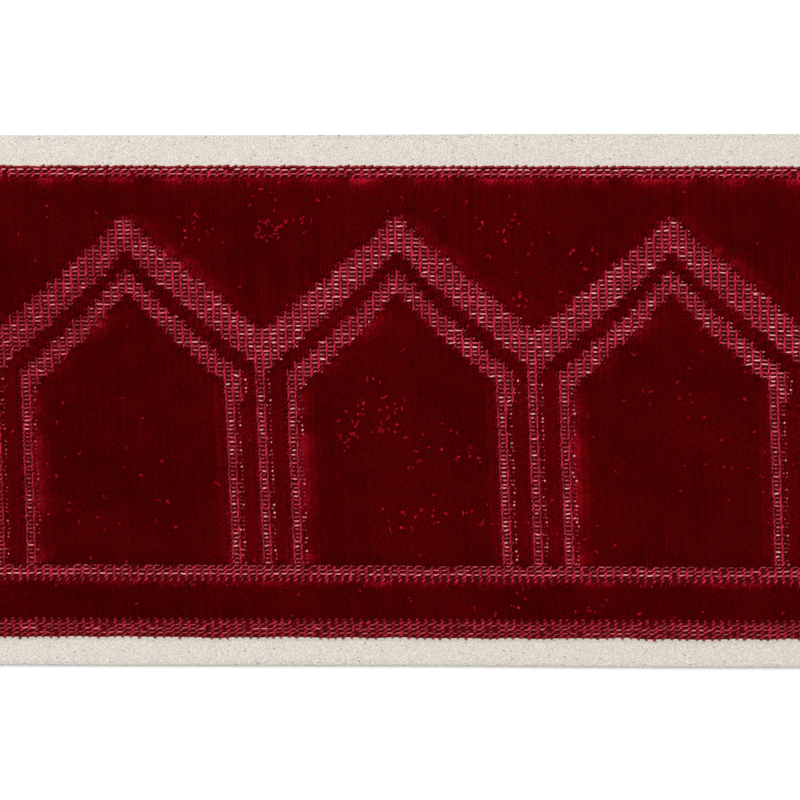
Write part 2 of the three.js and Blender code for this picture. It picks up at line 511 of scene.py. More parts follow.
# Geometry Nodes sow a small yarn shape on each point, turned and sized by the point's own values.
def sowTree():
    tree = bpy.data.node_groups.new("sow yarn", "GeometryNodeTree")
    sockets = {}
    for name, kind in (
        ("Geometry", "NodeSocketGeometry"),
        ("Yarn", "NodeSocketObject"),
        ("Finish", "NodeSocketMaterial"),
        ("Turn Jitter", "NodeSocketFloat"),
        ("Size Jitter", "NodeSocketFloat"),
        ("Seed", "NodeSocketInt"),
    ):
        sockets[name] = tree.interface.new_socket(name, in_out="INPUT", socket_type=kind).identifier
    tree.interface.new_socket("Geometry", in_out="OUTPUT", socket_type="NodeSocketGeometry")
    given = addNode(tree, "NodeGroupInput").outputs

    def fact(name, kind="FLOAT"):
        return addNode(tree, "GeometryNodeInputNamedAttribute", {"Name": name}, data_type=kind).outputs[0]

    def chanceAround(middle, jitter, seedShift):
        seed = calc(tree, "ADD", given["Seed"], seedShift)
        return addNode(tree, "FunctionNodeRandomValue", {
            2: calc(tree, "SUBTRACT", middle, jitter),
            3: calc(tree, "ADD", middle, jitter),
            "Seed": seed,
        }, data_type="FLOAT").outputs[1]

    turnChange = addNode(tree, "ShaderNodeCombineXYZ", {
        axis: chanceAround(0.0, given["Turn Jitter"], shift) for shift, axis in enumerate("XYZ")
    })
    turned = addNode(tree, "ShaderNodeVectorMath", {
        0: fact("turn", "FLOAT_VECTOR"),
        1: turnChange.outputs[0],
    })
    rotation = addNode(tree, "FunctionNodeEulerToRotation", {0: turned.outputs[0]})
    sized = addNode(tree, "ShaderNodeVectorMath", {
        0: fact("size", "FLOAT_VECTOR"),
        "Scale": chanceAround(1.0, given["Size Jitter"], 3),
    }, operation="SCALE")
    yarn = addNode(tree, "GeometryNodeObjectInfo", {"Object": given["Yarn"], "As Instance": True})
    placed = addNode(tree, "GeometryNodeInstanceOnPoints", {
        "Points": given["Geometry"],
        "Instance": yarn.outputs["Geometry"],
        "Rotation": rotation.outputs[0],
        "Scale": sized.outputs[0],
    })
    real = addNode(tree, "GeometryNodeRealizeInstances", {"Geometry": placed.outputs[0]})
    toneStart, toneReach = bakeSpread["tone"]
    alongStart, alongReach = bakeSpread["along"]
    fibreSide = calc(tree, "MULTIPLY_ADD", fact("side"), bakeSpread["side"], toneStart)
    shown = calc(tree, "MULTIPLY", fact("along"), calc(tree, "SUBTRACT", 1.0, fact("glow")))
    mapPlace = addNode(tree, "ShaderNodeCombineXYZ", {
        "X": calc(tree, "MULTIPLY_ADD", fact("tone"), toneReach, fibreSide),
        "Y": calc(tree, "MULTIPLY_ADD", shown, alongReach, alongStart),
    })
    mapped = addNode(tree, "GeometryNodeStoreNamedAttribute", {
        "Geometry": real.outputs[0],
        "Name": bakeName,
        "Value": mapPlace.outputs[0],
    }, data_type="FLOAT2", domain="CORNER")
    coat = addNode(tree, "GeometryNodeSetMaterial", {
        "Geometry": mapped.outputs[0],
        "Material": given["Finish"],
    })
    addNode(tree, "NodeGroupOutput", {"Geometry": coat.outputs[0]})
    return tree, sockets


sowing, sowingSockets = sowTree()


# Where the arcade begins and ends across the tape.
arcadeTop, arcadeBottom = rowPlace(pattern["topRows"] - 0.5), rowPlace(pattern["baseRows"][0] - 0.5)


# A piece of many yarns. Its look gives their jitter in turn and in size, and their seed as its last.
def sow(name, look, yarn, finish, places, turns, sizes, tones, paintedSheens=0.0):
    if finish != cutPile:  # whose tones have it already
        x, y, _ = places.T
        tones = tones - darkerHere(x) * ((y < arcadeTop) & (y > arcadeBottom))
    mesh = bpy.data.meshes.new(name)
    mesh.vertices.add(len(places))
    mesh.vertices.foreach_set("co", (laidOut(places) * mm).ravel())
    setFact(mesh, "turn", turns, "FLOAT_VECTOR")
    setFact(mesh, "size", sizes, "FLOAT_VECTOR")
    setFact(mesh, "tone", np.clip(tones, 0, 1))
    setFact(mesh, "glow", np.clip(paintedSheens, 0, 1) + np.zeros(len(places)))
    piece = addObject(name, mesh)
    modifier = piece.modifiers.new("sow", "NODES")
    modifier.node_group = sowing
    turnJitter, sizeJitter = look["jitter"]
    for socket, value in (
        ("Yarn", yarn),
        ("Finish", finish),
        ("Turn Jitter", turnJitter),
        ("Size Jitter", sizeJitter),
        ("Seed", look["seeds"][-1]),
    ):
        modifier[sowingSockets[socket]] = value
    bpy.context.view_layer.update()
    grown = bpy.data.meshes.new_from_object(piece.evaluated_get(bpy.context.evaluated_depsgraph_get()))
    piece.modifiers.remove(modifier)
    piece.data = grown
    grown.name = name
    bpy.data.meshes.remove(mesh)
    for spare in ("turn", "size"):
        if spare in grown.attributes:
            grown.attributes.remove(grown.attributes[spare])
    triangles = sum(len(face.vertices) - 2 for face in grown.polygons)
    print(name, len(places), "yarns,", triangles, "triangles")
    return piece


# Pile as two pieces, so that neither is too large: the left half of the tape, and the right one.
def sowHalves(name, look, blade, left, *facts):
    return [
        sow(f"{name}_{side}", look, blade, cutPile, *(fact[part] for fact in facts))
        for side, part in (("left", left), ("right", ~left))
    ]


# A small closed yarn shape of one unit's length, along Y for what lies and along Z for what stands.
def yarnShape(name, line, radii, sides, flat=1.0, standing=False, alongFrom=0.0):
    rings, places, faces, alongs, side = [], [], [], [], []
    for i, ((x, lengthwise, z), radius) in enumerate(zip(line, radii)):
        ring = []
        for j in range(sides if radius else 1):
            angle = math.tau * (j + 0.5) / sides
            sideways, up = radius * math.cos(angle), radius * math.sin(angle) * flat
            place = (x + sideways, z + up, lengthwise) if standing else (x + sideways, lengthwise, z + up)
            ring.append(len(places))
            places.append(place)
            alongs.append(alongFrom + (1 - alongFrom) * i / (len(line) - 1))
            side.append(math.cos(angle) if radius else 0.0)
        rings.append(ring)
    for before, after in zip(rings, rings[1:]):
        for j in range(sides):
            a, b = before[j % len(before)], before[(j + 1) % len(before)]
            c, d = after[(j + 1) % len(after)], after[j % len(after)]
            faces.append(list(dict.fromkeys((a, d, c, b) if not standing else (a, b, c, d))))
    for ring, inwards in ((rings[0], True), (rings[-1], False)):
        if len(ring) > 1:
            faces.append(ring[::-1] if inwards == standing else ring)
    mesh = bpy.data.meshes.new(name)
    mesh.from_pydata((np.array(places) * mm).tolist(), [], faces)
    mesh.polygons.foreach_set("use_smooth", np.full(len(mesh.polygons), True))
    setFact(mesh, "along", alongs)
    setFact(mesh, "side", side)
    return bpy.data.objects.new(name, mesh)


# Shader helpers and the groups that several finishes share.
def newMaterial(name, **constants):
    material = bpy.data.materials.new(name)
    material.use_nodes = True
    shader = material.node_tree.nodes["Principled BSDF"]
    for socket, value in constants.items():
        shader.inputs[socket].default_value = value
    return material, material.node_tree, shader


def attributeOf(tree, name):
    return addNode(tree, "ShaderNodeAttribute", attribute_name=name).outputs["Fac"]


def addRamp(tree, value, stops):
    node = addNode(tree, "ShaderNodeValToRGB", {0: value})
    band = node.color_ramp
    while len(band.elements) < len(stops):
        band.elements.new(0.5)
    for element, (place, colour) in zip(band.elements, stops):
        element.position = place
        element.color = (*colour, 1)
    return node.outputs["Color"]


def spreadTo(tree, value, low, high):
    return addNode(tree, "ShaderNodeMapRange", {"Value": value, "To Min": low, "To Max": high}).outputs[0]


def scaled(tree, colour, value):
    return addNode(tree, "ShaderNodeVectorMath", {0: colour, "Scale": value}, operation="SCALE").outputs[0]


def newGroup(name, inputs, outputs):
    group = bpy.data.node_groups.new(name, "ShaderNodeTree")
    for way, sockets in (("INPUT", inputs), ("OUTPUT", outputs)):
        for socket in sockets:
            group.interface.new_socket(socket, in_out=way, socket_type="NodeSocketFloat")
    return group, addNode(group, "NodeGroupInput").outputs


def addNoise(tree, place, scale, detail):
    given = {"Vector": place, "Scale": scale, "Detail": detail}
    return addNode(tree, "ShaderNodeTexNoise", given).outputs["Fac"]


# Fine fibres: a grain whose shade is around 1.
def grainGroup():
    group, given = newGroup("fibre grain", ("Scale", "Contrast"), ("Shade",))
    place = addNode(group, "ShaderNodeTexCoord").outputs["Object"]
    centred = calc(group, "SUBTRACT", addNoise(group, place, given["Scale"], 3.0), 0.5)
    shade = calc(group, "MULTIPLY_ADD", centred, calc(group, "MULTIPLY", given["Contrast"], 2.0), 1.0)
    addNode(group, "NodeGroupOutput", {"Shade": shade})
    return group


# The twist of a yarn's plies, slanting across it.
def plyGroup():
    group, given = newGroup("yarn plies", ("Turns", "Slant", "Contrast"), ("Shade", "Height"))
    along = calc(group, "MULTIPLY", attributeOf(group, "along"), given["Turns"])
    turn = calc(group, "MULTIPLY_ADD", attributeOf(group, "side"), given["Slant"], along)
    wave = calc(group, "SINE", calc(group, "MULTIPLY", turn, math.tau))
    # Painted shade: the colour darkens in the grooves between the plies.
    shade = calc(group, "MULTIPLY_ADD", wave, given["Contrast"], 1.0)
    addNode(group, "NodeGroupOutput", {"Shade": shade, "Height": wave})
    return group


# A fine twill: its slanting ribs waver, it is rough, and small pits are scattered along it.
twillLook = {
    "slant": 0.8,
    "waver": (500.0, 1.8),  # scale and strength
    "ribs": 0.35,
    "roughness": (4800.0, 5.6),
    "pitScale": (520.0, 700.0, 0.0),
    "pitReach": (0.05, 0.13),  # of a pit's floor and of its rim, in cells
}


def twillGroup(look):
    group, given = newGroup("twill", ("Pitch", "Contrast", "Pits"), ("Shade", "Height"))
    place = addNode(group, "ShaderNodeTexCoord").outputs["Object"]
    split = addNode(group, "ShaderNodeSeparateXYZ", {0: place}).outputs
    slanted = calc(group, "SUBTRACT", split["X"], calc(group, "MULTIPLY", split["Y"], look["slant"]))
    scale, strength = look["waver"]
    turns = calc(group, "DIVIDE", slanted, given["Pitch"])
    turns = calc(group, "MULTIPLY_ADD", addNoise(group, place, scale, 2.0), strength, turns)
    ribs = calc(group, "SINE", calc(group, "MULTIPLY", turns, math.tau))
    scale, strength = look["roughness"]
    rough = calc(group, "MULTIPLY_ADD", addNoise(group, place, scale, 2.0), strength, -strength / 2)
    height = calc(group, "MULTIPLY_ADD", ribs, look["ribs"], rough)
    stretched = addNode(group, "ShaderNodeMapping", {"Vector": place, "Scale": look["pitScale"]})
    cells = addNode(group, "ShaderNodeTexVoronoi", {"Vector": stretched.outputs[0], "Scale": 1.0})
    floor, rim = look["pitReach"]
    pits = addNode(group, "ShaderNodeMapRange", {
        "Value": cells.outputs["Distance"], "From Min": floor, "From Max": rim, "To Min": 1.0, "To Max": 0.0,
    }).outputs[0]
    # Painted shade: the colour darkens where the twill lies lower and in the pits.
    shade = calc(group, "MULTIPLY_ADD", height, given["Contrast"], 1.0)
    shade = calc(group, "SUBTRACT", shade, calc(group, "MULTIPLY", pits, given["Pits"]))
    addNode(group, "NodeGroupOutput", {"Shade": shade, "Height": calc(group, "SUBTRACT", height, pits)})
    return group


grain, plies, twill = grainGroup(), plyGroup(), twillGroup(twillLook)


def groupNode(tree, group, values):
    node = tree.nodes.new("ShaderNodeGroup")
    node.node_tree = group
    for socket, value in values.items():
        node.inputs[socket].default_value = value
    return node.outputs


def addBump(tree, shader, height, strength, distance):
    bump = addNode(tree, "ShaderNodeBump", {"Height": height, "Strength": strength, "Distance": distance})
    tree.links.new(bump.outputs[0], shader.inputs["Normal"])


# Cut pile: painted sheen makes the sides of its fibres bright, and painted shade makes their cut ends
# very dark.
pileLook = {
    "colours": [
        (0.0, (0.50, 0.009, 0.034)),
        (0.35, (0.28, 0.003, 0.009)),
        (0.55, (0.145, 0.0011, 0.0025)),
        (0.75, (0.088, 0.0006, 0.0011)),
        (0.95, (0.066, 0.0004, 0.0007)),
    ],
    "toneSpread": (0.69, 1.31),
    "grain": {"Scale": 2500.0, "Contrast": 0.045},
}


def pileMaterial(look):
    material, tree, shader = newMaterial("cut pile", **{
        "Roughness": 0.95,
        "Specular IOR Level": 0.0,
        "Sheen Weight": 0.03,
        "Sheen Roughness": 0.5,
        "Sheen Tint": (0.8, 0.05, 0.1, 1),
    })
    sheenless = calc(tree, "SUBTRACT", 1.0, attributeOf(tree, "glow"))
    shown = calc(tree, "MULTIPLY", attributeOf(tree, "along"), sheenless)
    colour = addRamp(tree, shown, look["colours"])
    tone = spreadTo(tree, attributeOf(tree, "tone"), *look["toneSpread"])
    shade = calc(tree, "MULTIPLY", tone, groupNode(tree, grain, look["grain"])["Shade"])
    tree.links.new(scaled(tree, colour, shade), shader.inputs["Base Color"])
    return material


# Yarns: their own colours, and the plies, grain and bump (strength, height in metres) they share.
yarnLooks = {
    "plies": {"Turns": 2.0, "Slant": 0.4, "Contrast": 0.12},
    "grain": {"Scale": 5000.0, "Contrast": 0.15},
    "bump": (0.4, 0.00005),
    "raspberry yarn": {
        "colours": [(0.0, (0.22, 0.003, 0.009)), (0.5, (0.43, 0.007, 0.025)), (1.0, (0.70, 0.018, 0.066))],
        "roughness": 0.6,
        "specular": 0.2,
        "endShades": (0.94, 1.06),
    },
    "pale yarn": {
        "colours": [
            (0.0, (0.26, 0.006, 0.014)),
            (0.4, (0.46, 0.036, 0.060)),
            (0.75, (0.86, 0.17, 0.21)),
            (1.0, (1.0, 0.47, 0.47)),
        ],
        "roughness": 0.55,
        "specular": 0.25,
        "endShades": (0.75, 1.2),
    },
}


def yarnMaterial(name):
    look = yarnLooks[name]
    material, tree, shader = newMaterial(name, **{
        "Roughness": look["roughness"],
        "Specular IOR Level": look["specular"],
    })
    colour = addRamp(tree, attributeOf(tree, "tone"), look["colours"])
    twist = groupNode(tree, plies, yarnLooks["plies"])
    fibres = groupNode(tree, grain, yarnLooks["grain"])
    ends = spreadTo(tree, attributeOf(tree, "along"), *look["endShades"])
    shade = calc(tree, "MULTIPLY", calc(tree, "MULTIPLY", twist["Shade"], fibres["Shade"]), ends)
    tree.links.new(scaled(tree, colour, shade), shader.inputs["Base Color"])
    addBump(tree, shader, twist["Height"], *yarnLooks["bump"])
    return material


groundLook = {
    "cream": (0.67, 0.618, 0.55),
    # the cream greys towards the long edges: painted shade where the edge turns down
    "creamEdgePaintedShade": (0.61, 0.575, 0.53),
    "maroon": (0.09, 0.0012, 0.0022),
    "colourTop": 43.95,  # mm across the tape
    "colourBottom": -44.65,
    "greyReach": 1.5,
    "edgeContrast": 0.6,  # how much stronger the weave shows near the long edges
    "twill": {"Pitch": 0.00048, "Contrast": 0.25, "Pits": 0.5},
    "bump": (0.5, 0.00004),
}


def groundMaterial(look):
    material, tree, shader = newMaterial("woven ground", **{"Roughness": 0.9, "Specular IOR Level": 0.1})
    across = attributeOf(tree, "across")
    middle = (look["colourTop"] + look["colourBottom"]) / 2
    reach = (look["colourTop"] - look["colourBottom"]) / 2
    away = calc(tree, "ABSOLUTE", calc(tree, "SUBTRACT", across, middle))
    coloured = calc(tree, "LESS_THAN", away, reach)
    edge = addNode(tree, "ShaderNodeMapRange", {
        "Value": calc(tree, "ABSOLUTE", across),
        "From Min": lay["halfWidth"] - look["greyReach"],
        "From Max": lay["halfWidth"],
    }).outputs[0]
    weaving = groupNode(tree, twill, look["twill"])
    # Painted shade greys the cream towards the long edges.
    cream = addNode(tree, "ShaderNodeMix", {0: edge}, data_type="RGBA")
    cream.inputs["A"].default_value = (*look["cream"], 1)
    cream.inputs["B"].default_value = (*look["creamEdgePaintedShade"], 1)
    grey = calc(tree, "MULTIPLY", edge, calc(tree, "SUBTRACT", weaving["Shade"], 1.0))
    shade = calc(tree, "MULTIPLY_ADD", grey, look["edgeContrast"], weaving["Shade"])
    plain = scaled(tree, cream.outputs["Result"], shade)
    mix = addNode(tree, "ShaderNodeMix", {0: coloured, "A": plain}, data_type="RGBA")
    mix.inputs["B"].default_value = (*look["maroon"], 1)
    tree.links.new(mix.outputs["Result"], shader.inputs["Base Color"])
    addBump(tree, shader, weaving["Height"], *look["bump"])
    return material


cutPile = pileMaterial(pileLook)
raspberryYarn = yarnMaterial("raspberry yarn")
paleYarn = yarnMaterial("pale yarn")
sheet.data.materials.append(groundMaterial(groundLook))
ridges.data.materials.append(cutPile)
print("finishes made")


# How a blade turns that leans by these amounts along and across the tape.
def leanTurn(dx, dy, rise):
    return together(np.arctan2(np.hypot(dx, dy), rise), 0, np.arctan2(dx, -dy))


# Places, each moved a little at random.
def shakenPlaces(chance, x, y, z, spreads):
    count = len(x)
    return together(*(value + chance.normal(0, spread, count) for value, spread in zip((x, y, z), spreads)))


shortBlade = yarnShape("short blade", [(0, 0, 0), (0, 1, 0)], [0.5, 0], 3, standing=True, alongFrom=0.78)
longBlade = yarnShape("long blade", [(0, 0, 0), (0, 0.6, 0.06), (0, 1, 0)], [0.4, 0.5, 0], 3,
                      standing=True, alongFrom=0.45)
stitch = yarnShape(
    "stitch",
    [(-0.08, -0.5, -0.25), (-0.1, -0.22, 0.12), (0.1, 0.22, 0.12), (0.08, 0.5, -0.25)],
    [0.3, 0.5, 0.5, 0.3], 4, flat=0.8,
)
dash = yarnShape(
    "dash",
    [(0, -0.5, -0.3), (0.03, -0.2, 0.06), (-0.03, 0.2, 0.06), (0, 0.5, -0.3)],
    [0, 0.5, 0.5, 0], 4, flat=0.8,
)
bead = yarnShape(
    "bead",
    [(0, -0.5, -0.1), (0, -0.28, 0.0), (0, 0.12, 0.04), (0, 0.5, -0.1)],
    [0, 0.42, 0.5, 0], 6, flat=0.9,
)
fibre = yarnShape(
    "fibre",
    [(0, -0.5, -0.1), (0, -0.25, 0), (0, 0.25, 0), (0, 0.5, -0.1)],
    [0, 0.5, 0.5, 0], 5, flat=0.9,
)


# Short blades stand all over the pile, in narrow lanes. In each look, a pair of numbers is the least
# and the most of a thing, unless its note says otherwise.
tipLook = {
    "perCell": 4,
    "lanes": 2,  # in a column
    "width": 0.46,
    "rise": 0.36,
    "rises": (0.75, 1.0),  # shares of it
    "lean": (-0.12, -0.26),  # along and across the tape
    "leanSpread": 0.06,
    "leanChange": 0.06,
    "leanLength": 16.0,
    "unevenness": (0.26, 0.05),  # where the lanes are closed, and where they stand apart
    "tones": (-0.04, 0.04),
    "paintedSheens": (0.5, 1.2),
    "jitter": (0.1, 0.1),  # of their turn and of their size
    "seeds": (21, 23, 22),
}


def addTips(look):
    chance = np.random.default_rng(look["seeds"][0])
    column, row = np.nonzero(~ground)
    lane = np.tile(np.arange(look["perCell"]), len(column))
    column, row = np.repeat(column, look["perCell"]), np.repeat(row, look["perCell"])
    count = len(column)
    spread = (lane % look["lanes"] + 0.5) / look["lanes"] - 0.5
    x = columnPlace(column) + spread * weave["columnPitch"]
    y = rowPlace(row) + chance.uniform(-0.5, 0.5, count) * rowPitch
    closed, apart = look["unevenness"]
    x = x + chance.normal(0, 1, count) * (closed + (apart - closed) * laneCrispness(x, y))
    rise = look["rise"] * chance.uniform(*look["rises"], count)
    dx, dy = (
        lean + chance.normal(0, look["leanSpread"], count)
        + look["leanChange"] * softWaves(x, y, look["leanLength"], seed)
        for seed, lean in enumerate(look["lean"], look["seeds"][1])
    )
    # The tips carry painted light where the lanes stand apart.
    tones = pileTone(x, y) + mood["crest"] * laneCrispness(x, y) + chance.uniform(*look["tones"], count)
    paintedSheens = paintedSheenChart[column, row] * chance.uniform(*look["paintedSheens"], count)
    places = together(x, y, heights["pile"] - look["rise"])
    turns = leanTurn(dx, dy, rise)
    sizes = together(look["width"], look["width"], rise)
    left = column < columnCount // 2
    return sowHalves("pile_tips", look, shortBlade, left, places, turns, sizes, tones, paintedSheens)


# Long blades stand round the rims of the raised fields. Each side has its number of blades a cell,
# how far they lean along and across the tape, and how much painted sheen they carry.
rimLook = {
    "width": 0.36,
    "leanSpread": 0.16,
    "sides": {
        "left": (9, -0.4, -0.25, 0.3),
        "right": (9, 0.7, -0.2, 0.46),
        "up": (5, -0.2, -0.4, 0.3),
        "down": (5, -0.2, 0.0, 0.25),
    },
    "uprightLean": -0.65,  # beside an upright line
    "borderLean": -0.9,
    "borderPaintedSheen": 0.65,
    "paintedSheenHaloShare": 1.3,  # of the painted sheen that a cell has on the chart
    "roots": (0.1, 0.46),  # how far from their cell's middle they root, in cells
    "borderReach": 0.9,  # the most of it at a border
    "rightReach": 0.28,  # and the least on the right
    "rises": (0.7, 0.97),  # shares of the pile's height
    "tones": (-0.2, 0.25),
    "paintedSheens": (0.4, 1.4),
    "jitter": (0.08, 0.05),
    "seeds": (31, 32),
}


# Raised cells with a flat upright line to their left.
def besideUpright():
    upright = np.pad(ground, ((1, 0), (2, 2)))[:-1]
    rows = weave["rows"]
    return ~ground & np.all([upright[:, shift:shift + rows] for shift in range(5)], axis=0)


def addRims(look):
    chance = np.random.default_rng(look["seeds"][0])
    padded = np.pad(ground, 1)
    beside = {
        "left": padded[:-2, 1:-1],
        "right": padded[2:, 1:-1],
        "up": padded[1:-1, :-2],
        "down": padded[1:-1, 2:],
    }
    leansFar = besideUpright()
    firstRows = (pattern["topRows"], pattern["baseRows"][1] + 1)
    nearest, farthest = look["roots"]
    places, leans, paintedSheens = [], [], []
    for name, (perCell, leanX, leanY, glow) in look["sides"].items():
        column, row = np.nonzero(~ground & beside[name])
        column, row = np.repeat(column, perCell), np.repeat(row, perCell)
        count = len(column)
        acrossCell = chance.uniform(-0.5, 0.5, count)
        border = (name == "up") & np.isin(row, firstRows)
        root = chance.uniform(nearest, np.where(border, look["borderReach"], farthest), count)
        shiftX = {"left": -root, "right": np.maximum(root, look["rightReach"])}.get(name, acrossCell)
        shiftY = {"up": root, "down": -root}.get(name, acrossCell)
        x = columnPlace(column) + shiftX * weave["columnPitch"]
        y = rowPlace(row) + shiftY * rowPitch
        places.append(together(x, y, heights["floor"]))
        far = (name == "left") & leansFar[column, row]
        dx = np.where(far, look["uprightLean"], leanX) + chance.normal(0, look["leanSpread"], count)
        dy = np.where(border, look["borderLean"], leanY) + chance.normal(0, look["leanSpread"], count)
        leans.append(together(dx, dy))
        borderPaintedSheen = look["borderPaintedSheen"] * blotches(x, 74)
        fieldPaintedSheen = np.maximum(glow, look["paintedSheenHaloShare"] * paintedSheenChart[column, row] * (name == "left"))
        paintedSheens.append(np.where(border, borderPaintedSheen, fieldPaintedSheen) * chance.uniform(*look["paintedSheens"], count))
    places, leans, paintedSheens = (np.concatenate(part) for part in (places, leans, paintedSheens))
    count = len(places)
    rise = (heights["pile"] - heights["floor"]) * chance.uniform(*look["rises"], count)
    turns = leanTurn(*leans.T, rise)
    sizes = together(look["width"], look["width"], np.sqrt(rise ** 2 + (leans ** 2).sum(1)))
    x, y, _ = places.T
    tones = pileTone(x, y) + chance.uniform(*look["tones"], count)
    return sowHalves("pile_rims", look, longBlade, x < 0, places, turns, sizes, tones, paintedSheens)


# Raspberry stitches, one on each flat cell: near upright in the arcade's lines, slanting elsewhere.
stitchLook = {
    "lift": 0.3,
    "thickness": 0.6,
    "stretches": [  # last row, slant in degrees, length, width, shift up, least and most tone
        (0, 72.0, 1.6, 0.6, 0.1, 0.0, 0.2),
        (1, 38.0, 1.1, 0.54, -0.12, 0.1, 0.9),
        (2, 30.0, 1.05, 0.54, 0.0, 0.15, 1.0),
        (95, 14.0, 1.1, 0.47, 0.0, 0.35, 1.0),
        (99, 26.0, 1.1, 0.54, -0.28, 0.1, 0.9),
        (111, 34.0, 1.05, 0.54, 0.39, 0.1, 0.9),
        (113, 44.0, 1.1, 0.58, 0.39, 0.0, 0.45),
    ],
    "slantSpread": 0.13,
    "spreads": (0.05, 0.04, 0.03),  # of their places along, across and up
    "jitter": (0.06, 0.08),
    "seeds": (41, 42),
}


def addStitches(look):
    chance = np.random.default_rng(look["seeds"][0])
    column, row = np.nonzero(ground)
    count = len(column)
    last, slant, length, width, up, least, most = np.array(look["stretches"]).T
    stretch = np.searchsorted(last, row)
    slant = np.radians(slant[stretch]) + chance.normal(0, look["slantSpread"], count)
    y = rowPlace(row) + up[stretch]
    places = shakenPlaces(chance, columnPlace(column), y, heights["floor"] + look["lift"], look["spreads"])
    tones = least[stretch] + (most - least)[stretch] * chance.uniform(0, 1, count)
    turns = together(0, 0, -slant)
    sizes = together(width[stretch], length[stretch], look["thickness"])
    return sow("raspberry_stitches", look, stitch, raspberryYarn, places, turns, sizes, tones)


# Pale threads cross the arcade's lines as a rung between each two columns. Some run over a column,
# and at the rim of the pile only their ends show. Each kind has how far it lies to the right of the
# column's middle, its length, width and lift, and its tones.
rungLook = {
    "down": 0.1,
    "kinds": {
        "inside": (0.74, 1.4, 0.37, 0.3, (0.2, 1.0)),
        "over": (0.8, 1.8, 0.3, 0.52, (0.15, 1.0)),
        "leftEnd": (0.8, 0.5, 0.34, 0.3, (0.0, 0.6)),
        "rightEnd": (0.68, 0.9, 0.4, 0.65, (0.0, 1.0)),
        "peep": (1.05, 0.56, 0.44, 1.1, (0.0, 1.0)),
    },
    "shares": {"over": 0.4, "leftEnd": 0.4, "peep": 0.75},  # of those that could be there
    "power": 1.5,  # the higher, the fewer rungs are pale
    "lengths": (0.8, 1.15),  # shares of the length
    "thickness": 0.5,
    "slant": -90.0,  # in degrees
    "slantSpread": 0.1,
    "spreads": (0.08, 0.04, 0.03),
    "jitter": (0.05, 0.1),
    "seeds": (51, 52),
}


def addRungs(look):
    chance = np.random.default_rng(look["seeds"][0])
    first, last = pattern["topRows"], pattern["baseRows"][0]
    leftFlat, rightFlat = ground[:-1, first:last], ground[1:, first:last]
    atUpright = np.pad(besideUpright(), ((0, 3), (0, 0)))[:, first:last]
    nearUpright = np.any([atUpright[shift:shift + columnCount] for shift in range(1, 4)], axis=0)[:-1]
    chart = {
        "inside": leftFlat & rightFlat,
        "over": leftFlat & rightFlat & ~nearUpright,
        "leftEnd": ~leftFlat & rightFlat,
        "rightEnd": leftFlat & ~rightFlat,
        "peep": leftFlat & besideUpright()[1:, first:last],
    }
    places, sizes, tones = [], [], []
    for kind, (right, length, width, lift, (least, most)) in look["kinds"].items():
        share = look["shares"].get(kind, 1.0)
        column, row = np.nonzero(chart[kind] & (chance.uniform(0, 1, chart[kind].shape) < share))
        count = len(column)
        x = columnPlace(column) + right
        y = rowPlace(row + first) - look["down"]
        places.append(shakenPlaces(chance, x, y, heights["floor"] + lift, look["spreads"]))
        lengths = length * chance.uniform(*look["lengths"], count)
        sizes.append(together(width, lengths, look["thickness"]))
        tones.append(least + (most - least) * chance.uniform(0, 1, count) ** look["power"])
    places, sizes, tones = (np.concatenate(part) for part in (places, sizes, tones))
    turn = math.radians(look["slant"]) + chance.normal(0, look["slantSpread"], len(places))
    return sow("pale_threads", look, dash, paleYarn, places, together(0, 0, turn), sizes, tones)


# Long pale threads lie along the borders and the base line, over and under the stitches.
threadLook = {
    "rows": [  # row, how far below its middle, least and most tone, share, width
        (0, 0.43, 0.55, 1.0, 0.97, 0.37),
        (1, 0.5, 0.1, 0.9, 0.9, 0.31),
        (96, -0.1, 0.1, 0.6, 0.8, 0.34),
        (97, -0.1, 0.1, 0.75, 0.9, 0.34),
        (98, -0.1, 0.4, 1.0, 0.95, 0.34),
        (110, 0.0, 0.0, 0.5, 0.8, 0.32),
        (111, 0.0, 0.05, 0.75, 0.85, 0.34),
        (112, 0.0, 0.05, 0.7, 0.85, 0.34),
    ],
    "right": 0.75,  # of a column's middle
    "lift": 0.46,
    "toneLength": 9.0,  # how slowly a thread pales and darkens, in mm
    "lengths": (1.2, 1.8),
    "thickness": 0.5,
    "slant": -90.0,
    "slantSpread": 0.08,
    "spreads": (0.1, 0.04, 0.06),
    "jitter": (0.04, 0.1),
    "seeds": (55, 56, 57),
}


def addBorderThreads(look):
    chance = np.random.default_rng(look["seeds"][0])
    places, tones, widths = [], [], []
    for row, below, least, most, share, width in look["rows"]:
        column = np.flatnonzero(chance.uniform(0, 1, columnCount) < share)
        count = len(column)
        x = columnPlace(column) + look["right"]
        y = rowPlace(row) - below
        places.append(shakenPlaces(chance, x, y, heights["floor"] + look["lift"], look["spreads"]))
        x = places[-1][:, 0]
        run = 0.5 + 0.5 * softWaves(x, 0 * x, look["toneLength"], look["seeds"][1] + row)
        mixed = 0.5 * run + 0.5 * chance.uniform(0, 1, count)
        tones.append(least + (most - least) * np.clip(mixed, 0, 1))
        widths.append(np.full(count, width))
    places, tones, widths = (np.concatenate(part) for part in (places, tones, widths))
    count = len(places)
    turn = math.radians(look["slant"]) + chance.normal(0, look["slantSpread"], count)
    sizes = together(widths, chance.uniform(*look["lengths"], count), look["thickness"])
    return sow("border_threads", look, dash, paleYarn, places, together(0, 0, turn), sizes, tones)


# Round loops close the lower edge of the coloured weave, with a tuft here and there.
loopLook = {
    "place": (-0.35, -44.58, 0.1),  # along from a column's middle, across the tape, over the floor
    "length": 0.66,
    "width": 0.66,
    "thickness": 0.7,
    "tuftShare": 0.08,
    "tuftLength": 0.95,
    "tuftDrop": 0.12,
    "tones": (0.0, 0.4),
    "slant": -50.0,
    "slantSpread": 0.3,
    "spreads": (0.1, 0.06),
    "jitter": (0.1, 0.12),
    "seeds": (61, 62),
}


